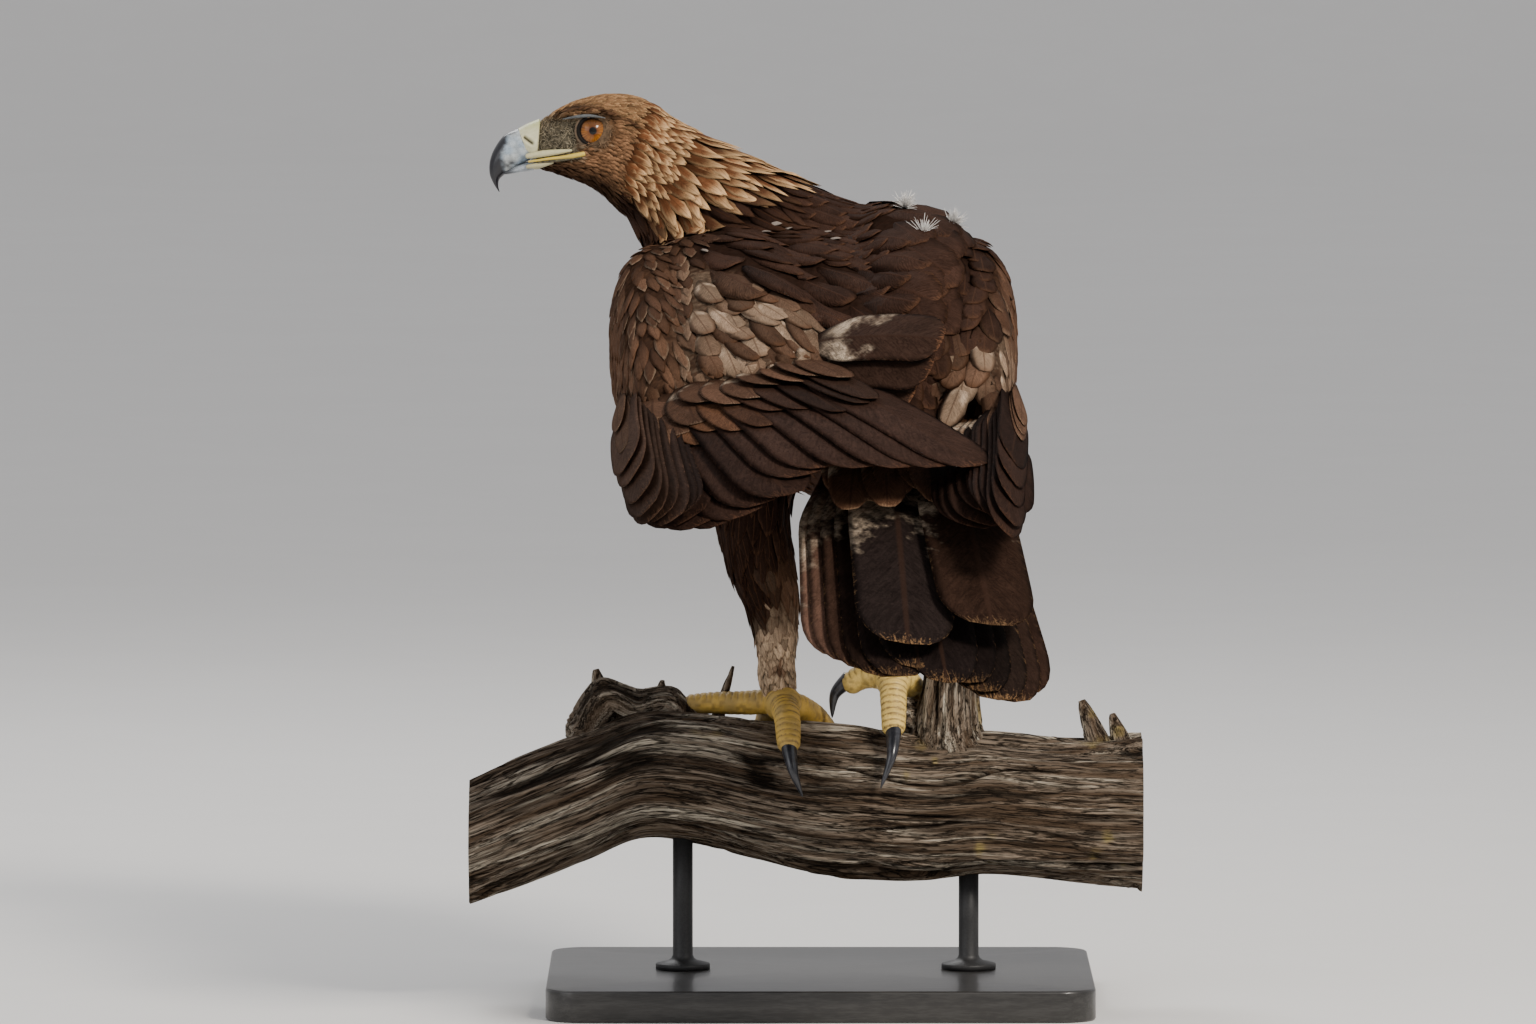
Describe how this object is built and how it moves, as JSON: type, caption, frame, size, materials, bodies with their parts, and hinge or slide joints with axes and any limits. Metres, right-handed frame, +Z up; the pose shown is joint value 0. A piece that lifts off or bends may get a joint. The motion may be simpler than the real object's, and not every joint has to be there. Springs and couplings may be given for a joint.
{
  "type": "golden eagle display model",
  "caption": "Life-size golden eagle looking back over its left shoulder, gripping a cut length of weathered branch on a flat display stand.",
  "frame": {"origin": "centre of the stand base's underside", "axes": "+Z up, +X to the right and +Y away as the bird is seen from behind, as in the picture"},
  "size_m": [0.47, 0.5802, 0.6305],
  "materials": {
    "stand_base": "satin black lacquer",
    "stand_metal": "satin black paint",
    "driftwood": "weathered, furrowed grey-brown",
    "eye": "wet gloss",
    "bill_horn": "semi-gloss horn, black at the tip",
    "claw_horn": "semi-gloss black horn",
    "yellow_skin": "matt scaled skin",
    "shank_down": "short soft feathers",
    "leg_plumage": "soft matt feathers",
    "nape_hackles": "matt lance-shaped feathers",
    "head_plumage": "matt short feathers",
    "wing_plumage": "matt feathers with a faint sheen",
    "tail_plumage": "matt feathers with a faint sheen",
    "body_plumage": "matt feathers"
  },
  "bodies": {
    "root": {"bill_lower": "bill_horn", "bill_upper": "bill_horn", "cere": "yellow_skin", "claw_left_hallux": "claw_horn", "claw_left_inner": "claw_horn", "claw_left_middle": "claw_horn", "claw_left_outer": "claw_horn", "claw_right_hallux": "claw_horn", "claw_right_inner": "claw_horn", "claw_right_middle": "claw_horn", "claw_right_outer": "claw_horn", "eye_left": "eye", "eye_right": "eye", "foot_left": "yellow_skin", "foot_right": "yellow_skin", "head": "head_plumage", "neck": "nape_hackles", "perch": "driftwood", "stand_base": "stand_base", "stand_rod_1": "stand_metal", "stand_rod_2": "stand_metal", "tail": "tail_plumage", "tarsus_left": "shank_down", "tarsus_right": "shank_down", "thigh_left": "leg_plumage", "thigh_right": "leg_plumage", "toe_left_hallux": "yellow_skin", "toe_left_inner": "yellow_skin", "toe_left_middle": "yellow_skin", "toe_left_outer": "yellow_skin", "toe_right_hallux": "yellow_skin", "toe_right_inner": "yellow_skin", "toe_right_middle": "yellow_skin", "toe_right_outer": "yellow_skin", "torso": "body_plumage", "wing_left": "wing_plumage", "wing_right": "wing_plumage"}
  },
  "joints": []
}
